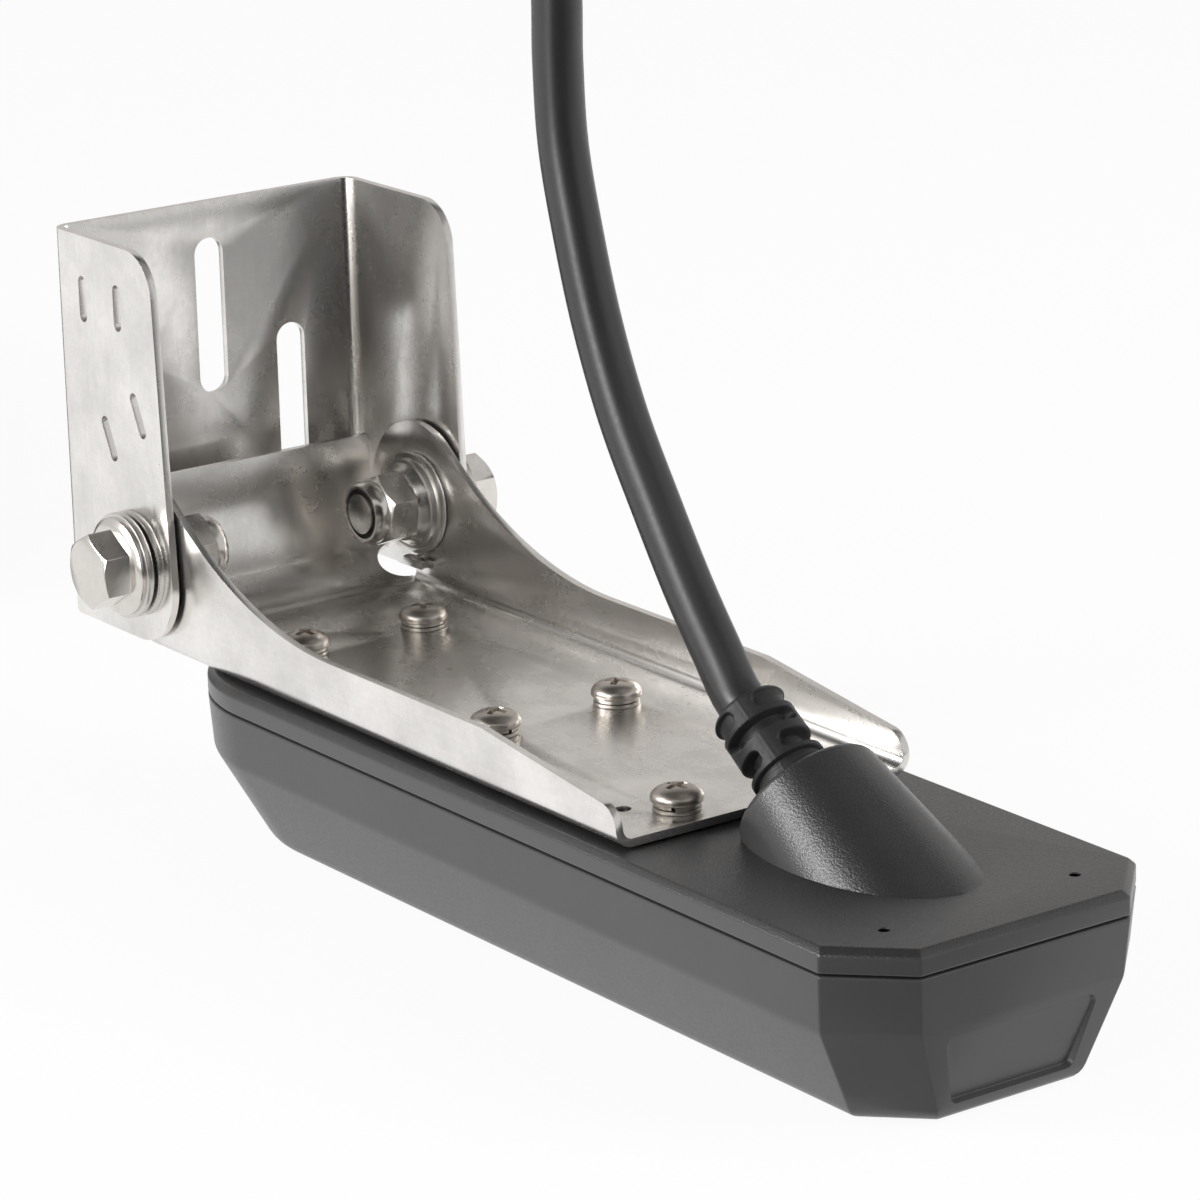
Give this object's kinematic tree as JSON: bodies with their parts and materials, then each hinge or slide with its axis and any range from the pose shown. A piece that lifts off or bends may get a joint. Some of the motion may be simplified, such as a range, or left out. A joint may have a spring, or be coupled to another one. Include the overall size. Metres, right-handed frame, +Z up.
{
  "type": "transom mount sonar transducer",
  "caption": "Long moulded sonar transducer with a blunt aft end, carried by a folded steel bracket that tilts in a slotted transom bracket, with a boot and a tied cable ending in a round plug.",
  "frame": {"origin": "middle of the object's box on the plane of its flat bottom, the cable and what is on it left out", "axes": "+X points aft along the body, away from the transom; +Z up from the flat bottom; +Y to the side without cable-tie slots"},
  "size_m": [0.6065, 0.0937, 0.2285],
  "materials": {
    "housing_plastic": "smooth satin dark grey moulding",
    "cover_plastic": "grained dark grey moulding",
    "seal_rubber": "black seal",
    "ceramic": "pale fired ceramic",
    "backing": "cork-like backing",
    "board": "coated board",
    "brass": "turned brass",
    "sheet_steel": "satin rolled stainless sheet",
    "fastener_steel": "plain stainless fastener",
    "washer_steel": "plain stainless washer",
    "nylon": "black nylon",
    "boot_rubber": "moulded black rubber",
    "cable_jacket": "satin black jacket",
    "connector_plastic": "black moulding"
  },
  "bodies": {
    "transducer": {"housing": "housing_plastic", "top_cover": "cover_plastic", "cover_seal": "seal_rubber", "side_element_near": "ceramic", "side_element_far": "ceramic", "down_element": "ceramic", "disc_element": "ceramic", "disc_backing": "backing", "backing_block": "backing", "terminal_board": "board", "temperature_sensor": "board", "threaded_inserts": "brass", "transducer_bracket": "sheet_steel", "mounting_screws": "fastener_steel", "lock_washers": "washer_steel", "flat_washers": "washer_steel", "strain_relief": "boot_rubber", "cable": "cable_jacket", "cable_hank": "cable_jacket", "hank_ties": "nylon", "cable_tail": "cable_jacket", "connector_body": "connector_plastic", "locking_collar": "connector_plastic", "connector_seal": "seal_rubber", "connector_pins": "brass"},
    "transom_mount": {"transom_bracket": "sheet_steel", "pivot_bolts": "fastener_steel", "pivot_washers": "washer_steel", "dark_washers": "nylon", "friction_washers": "nylon", "inner_washers": "washer_steel", "lock_nuts": "fastener_steel", "nylon_rings": "nylon"}
  },
  "joints": [
    {"name": "tilt_pivot", "type": "hinge", "parent": "transducer", "child": "transom_mount", "pos_m": [-0.098, 0, 0.0513], "axis": [0, 1, 0], "range_deg": [-20, 70]}
  ]
}
